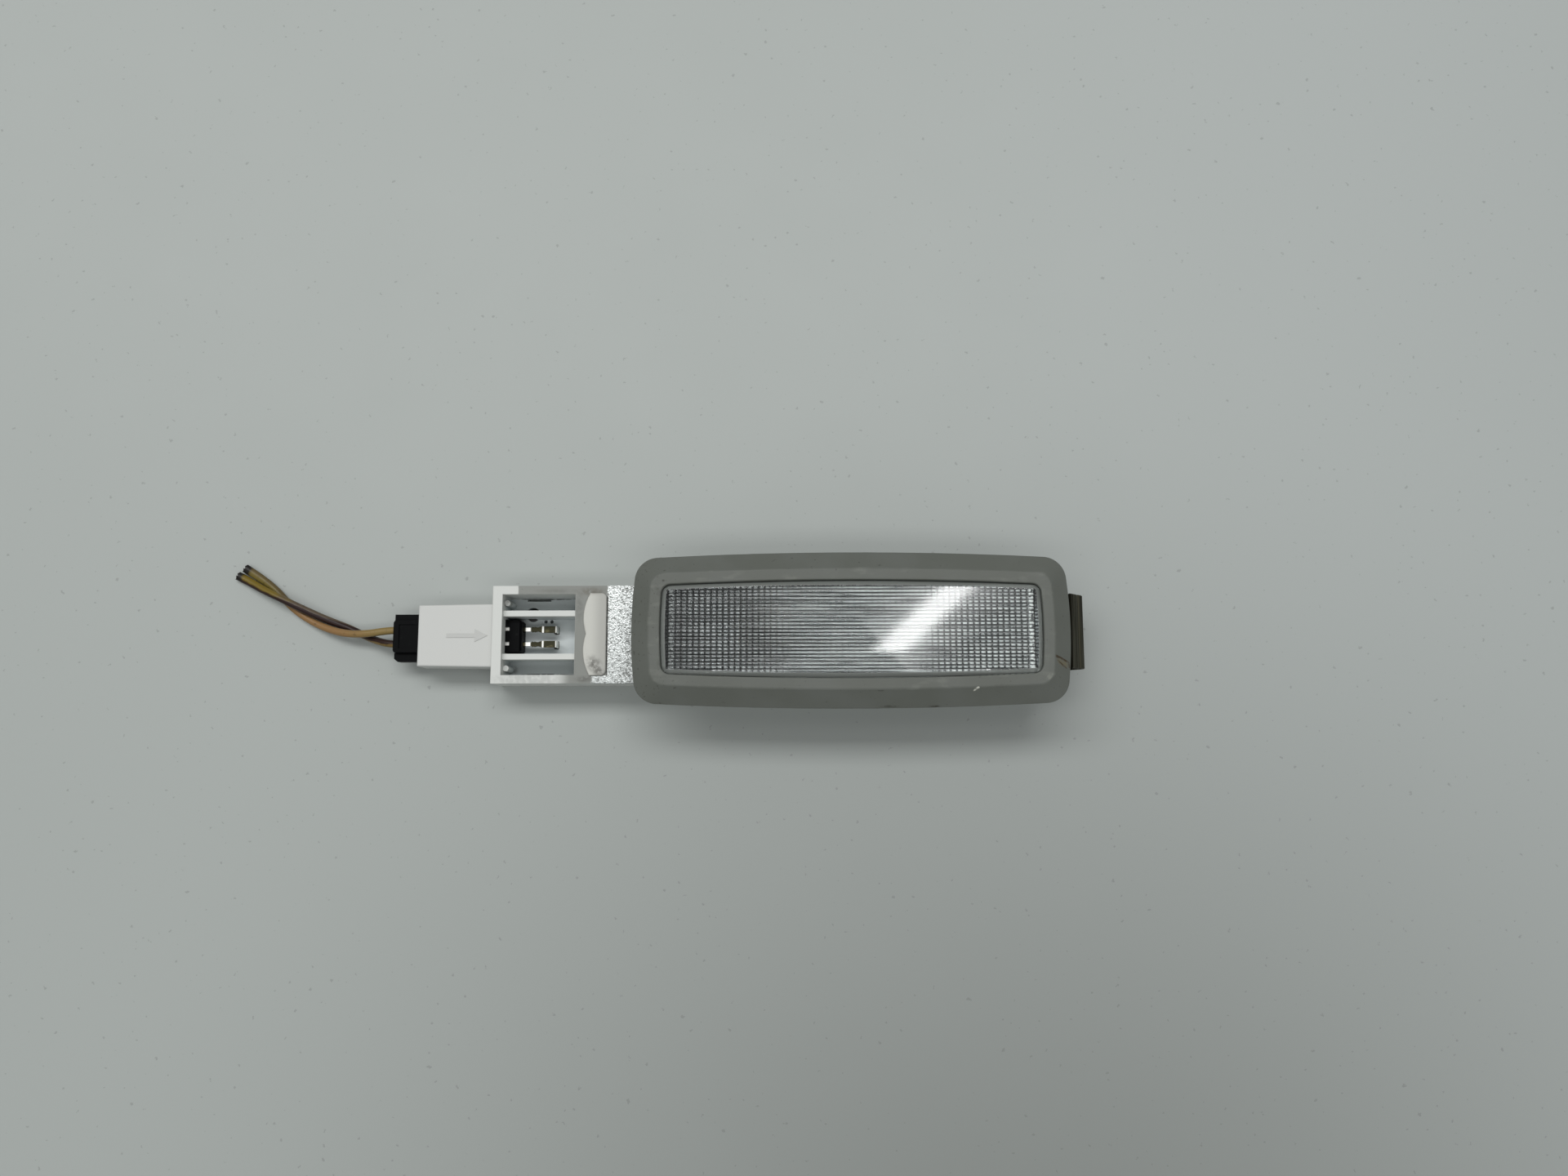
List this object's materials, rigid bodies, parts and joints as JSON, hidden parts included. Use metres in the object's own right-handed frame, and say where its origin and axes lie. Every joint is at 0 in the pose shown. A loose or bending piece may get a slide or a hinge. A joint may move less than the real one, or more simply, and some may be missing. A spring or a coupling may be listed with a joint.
{
  "type": "car interior dome light",
  "caption": "Small snap-in car interior light: grey bezel, clear fluted lens, metallised housing with a festoon bulb, spring clip and a two-way plug with cut wires.",
  "frame": {"origin": "middle of the housing's flat back, under the centre of the lens", "axes": "+X along the lamp towards the spring clip, -X towards the plug, +Y across it, +Z out of the lens"},
  "size_m": [0.1472, 0.0264, 0.017],
  "materials": {
    "bezel_grey": "fine grained grey moulding",
    "lens_clear": "clear, polished outside and fluted inside",
    "housing_white": "white moulding, partly metallised",
    "clip_steel": "dark blackened spring steel",
    "contact_brass": "tarnished brass strip",
    "bulb_glass": "clear glass",
    "bulb_cap": "nickel plated",
    "bulb_wire": "drawn wire",
    "plug_black": "black moulding",
    "terminal_tin": "tin plated",
    "sleeve_steel": "bright steel",
    "wire_tan": "tan insulation",
    "wire_dark": "dark brown insulation",
    "copper": "bare stranded copper"
  },
  "bodies": {
    "lamp": {"bezel": "bezel_grey", "lens": "lens_clear", "housing": "housing_white", "contact_strip_left": "contact_brass", "contact_strip_right": "contact_brass", "bulb_glass": "bulb_glass", "bulb_cap_left": "bulb_cap", "bulb_cap_right": "bulb_cap", "bulb_filament": "bulb_wire", "bulb_leads": "bulb_wire"},
    "plug": {"plug_housing": "plug_black", "plug_lock": "plug_black", "terminal_upper": "terminal_tin", "terminal_lower": "terminal_tin", "terminal_sleeve_upper": "sleeve_steel", "terminal_sleeve_lower": "sleeve_steel", "wire_tan": "wire_tan", "wire_dark": "wire_dark", "conductor_tan": "copper", "conductor_dark": "copper"},
    "clip": {"spring_clip": "clip_steel"}
  },
  "joints": [
    {"name": "plug_slide", "type": "slide", "parent": "lamp", "child": "plug", "axis": [-1, 0, 0], "range_m": [0, 0.022]},
    {"name": "clip_flex", "type": "hinge", "parent": "lamp", "child": "clip", "pos_m": [0.032, 0, 0.0023], "axis": [0, -1, 0], "range_deg": [0, 8], "stiffness_Nm_per_rad": 0.4}
  ]
}
